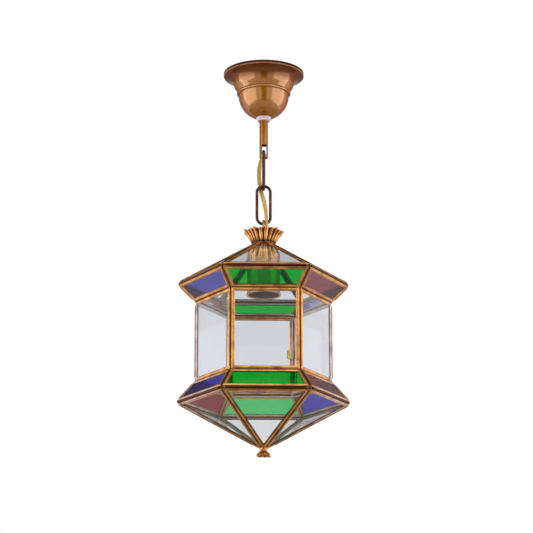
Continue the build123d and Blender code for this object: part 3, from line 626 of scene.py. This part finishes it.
# Painted shadow: the crown darkens towards its base, where it meets the roof hub
crown_base_shade = (crown_low[2] - 1 * mm, crown_low[2] + 7 * mm)
crown_finish = antique_brass(
    "crown_sheet", crown_gold, crown_dark, came_reach, satin=0.34, stained=crown_base_shade, shaded_valleys=True
)
dress(crown_ruffle, "crown_brass", crown_finish)
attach(crown_ruffle, "lantern")
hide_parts("crown")

finial_low, finial_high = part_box("finial")
hub_low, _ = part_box("base_hub")
finial_ruffle = make_ruffle(
    "finial_ruffle",
    folds=7,
    neck=(4.0 * mm, 0.5 * mm, hub_low[2] + 0.1 * mm),
    rim=(finial_high[1] - 0.3 * mm, 4.4 * mm, finial_low[2] + 0.3 * mm),
    sheet=1.2 * mm,
    flare=lambda share: smooth_step((share - 0.12) / 0.7),
    rows=18,
    per_fold=22,
)
dress(finial_ruffle, "crown_brass")
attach(finial_ruffle, "lantern")
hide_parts("finial")


# Solder beads on the corners where the brass strips meet


def make_beads(name, places, radius, flat):
    """Low rounded drops, each at a place and pressed flat along its way out."""
    verts = []
    faces = []
    rings = 7
    around = 12
    for index, (place, out) in enumerate(places):
        turn = Vector((0, 0, 1)).rotation_difference(out).to_matrix()
        size = radius * (1 + 0.14 * wobble(index, 5))
        start = len(verts)
        for ring in range(rings):
            tilt = pi * (ring + 0.5) / rings
            for step in range(around):
                angle = tau * step / around
                lump = 1 + 0.08 * sin(3 * angle + index)
                width = sin(tilt) * lump
                local = Vector((width * cos(angle), width * sin(angle), flat * cos(tilt)))
                verts.append(place + turn @ (local * size))
        faces += [tuple(start + i for i in face) for face in grid_faces(rings, around)]
        faces.append(tuple(start + i for i in range(around)))
        faces.append(tuple(start + (rings - 1) * around + i for i in range(around)))
    return add_mesh(name, verts, faces)


_, eave_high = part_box("upper_skirt_strips")
low_eave_low, low_eave_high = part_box("lower_skirt_strips")
# Each ring of corners has a radius, a height and the upward part of its beads' way out
corner_rings = [
    (eave_high[0] - 1.0 * mm, eave_high[2] - 0.2 * mm, 0.2),
    (side_high[0] - 0.4 * mm, side_high[2] + 0.8 * mm, -0.2),
    (side_high[0] - 0.4 * mm, side_low[2] - 0.8 * mm, 0.2),
    (low_eave_high[0] - 1.0 * mm, low_eave_low[2] + 0.2 * mm, -0.2),
]
bead_places = []
for radius, height, lift in corner_rings:
    for corner in range(6):
        angle = tau * corner / 6
        out = Vector((cos(angle), sin(angle), lift)).normalized()
        bead_places.append((Vector((radius * cos(angle), radius * sin(angle), height)), out))
beads = make_beads("solder_beads", bead_places, radius=2.3 * mm, flat=0.55)
dress(beads, "aged_solder")
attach(beads, "lantern")


# Grub screw that grips the stem, in the side of the collar


def make_grub_screw(name, radius, reach, place, out):
    """A short screw end with a round dent that stands out of a surface."""
    # Depth and radius of each ring, as shares
    rings = ((0, 1), (0.7, 1), (1, 0.82), (0.55, 0.55), (0.55, 0.0))
    around = 20
    turn = Vector((0, 0, 1)).rotation_difference(out).to_matrix()
    verts = []
    for depth, share in rings:
        for step in range(around):
            angle = tau * step / around
            local = Vector((share * radius * cos(angle), share * radius * sin(angle), depth * reach))
            verts.append(place + turn @ local)
    faces = grid_faces(len(rings), around)
    faces.append(tuple(range(around)))
    return add_mesh(name, verts, faces, smooth=False)


collar_low, collar_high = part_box("canopy_collar")
grub_reach = 2.2 * mm
grub_place = Vector((collar_high[0] - grub_reach, 0, (collar_low[2] + collar_high[2]) / 2))
grub_way = Vector((1, 0, -0.25)).normalized()
grub_screw = make_grub_screw("collar_grub_screw", 1.3 * mm, grub_reach, grub_place, grub_way)
dress(grub_screw, "zinc_steel")
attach(grub_screw, "canopy")


# Floor, light and background

floor_height = -1.65
floor_half = 2.0
floor_corners = [(x * floor_half, y * floor_half, floor_height) for x, y in ((-1, -1), (1, -1), (1, 1), (-1, 1))]
floor = add_mesh("floor", floor_corners, [(0, 1, 2, 3)])
floor_finish = Shader("pale_floor", Roughness=0.8)
mottle = floor_finish.noise(0.4, 2.0)
floor_finish.set("Base Color", floor_finish.mix(mottle, (0.53, 0.53, 0.53), (0.56, 0.56, 0.56)))
# It looks paler from the camera and through glass than in the metal
floor_ray = floor_finish.node("ShaderNodeLightPath").outputs
floor_glow = floor_finish.math("MULTIPLY", floor_ray["Is Camera Ray"], 0.45)
glow_through_glass = floor_finish.math("MULTIPLY", floor_ray["Is Transmission Ray"], 0.1)
floor_glow = floor_finish.math("MAXIMUM", floor_glow, glow_through_glass)
floor_finish.principled.inputs["Emission Color"].default_value = (1, 1, 1, 1)
floor_finish.set("Emission Strength", floor_glow)
floor.data.materials.append(floor_finish.material)


def add_softbox(name, place, target, width, height, power):
    """A large soft lamp that looks at a target."""
    light = bpy.data.lights.new(name, "AREA")
    light.shape = "RECTANGLE"
    light.size = width
    light.size_y = height
    light.energy = power
    lamp = bpy.data.objects.new(name, light)
    lamp.location = place
    lamp.rotation_euler = (Vector(target) - Vector(place)).to_track_quat("-Z", "Y").to_euler()
    lamp.visible_camera = False
    scene.collection.objects.link(lamp)


# Each lamp has a place, a target, a width, a height and a power in watts
light_target = (0, 0, -0.6)
add_softbox("left_softbox", (-2.0, -0.68, -0.5), light_target, 2.8, 2.4, 42)
add_softbox("right_softbox", (2.0, -0.68, -0.5), light_target, 2.8, 2.4, 42)
add_softbox("left_front", (-0.98, -2.1, -0.5), light_target, 1.1, 2.4, 6.5)
add_softbox("right_front", (0.98, -2.1, -0.5), light_target, 1.1, 2.4, 6.5)
add_softbox("high_front", (0.1, -1.41, 1.285), (0, 0, -0.4), 3.0, 1.2, 26)

world = bpy.data.worlds.new("studio")
scene.world = world
world.use_nodes = True
sky = NodeTree(world.node_tree)
ray = sky.node("ShaderNodeLightPath").outputs
direction = sky.node("ShaderNodeTexCoord").outputs["Generated"]
_, back, up = sky.axes(direction)
# The backdrop is white behind the lantern; the room is dim overhead and on the camera's side
backdrop = sky.math("MULTIPLY", sky.span(back, -0.25, 0.4), sky.span(up, 0.52, 0.39))
through_glass = sky.span(up, 0.85, 0.6, 0.1, 1.0)
seen = sky.math("MULTIPLY", ray["Is Transmission Ray"], through_glass)
seen = sky.math("MAXIMUM", ray["Is Camera Ray"], seen)
seen = sky.math("MAXIMUM", seen, sky.math("MULTIPLY", ray["Is Glossy Ray"], backdrop))
room = sky.span(back, 0.2, 0.7, 0.05, 0.12)
room = sky.math("MAXIMUM", room, sky.math("MULTIPLY", backdrop, 0.55))
background = sky.tree.nodes["Background"]
background.inputs["Color"].default_value = (1, 1, 1, 1)
sky.tree.links.new(sky.math("MAXIMUM", seen, room), background.inputs["Strength"])
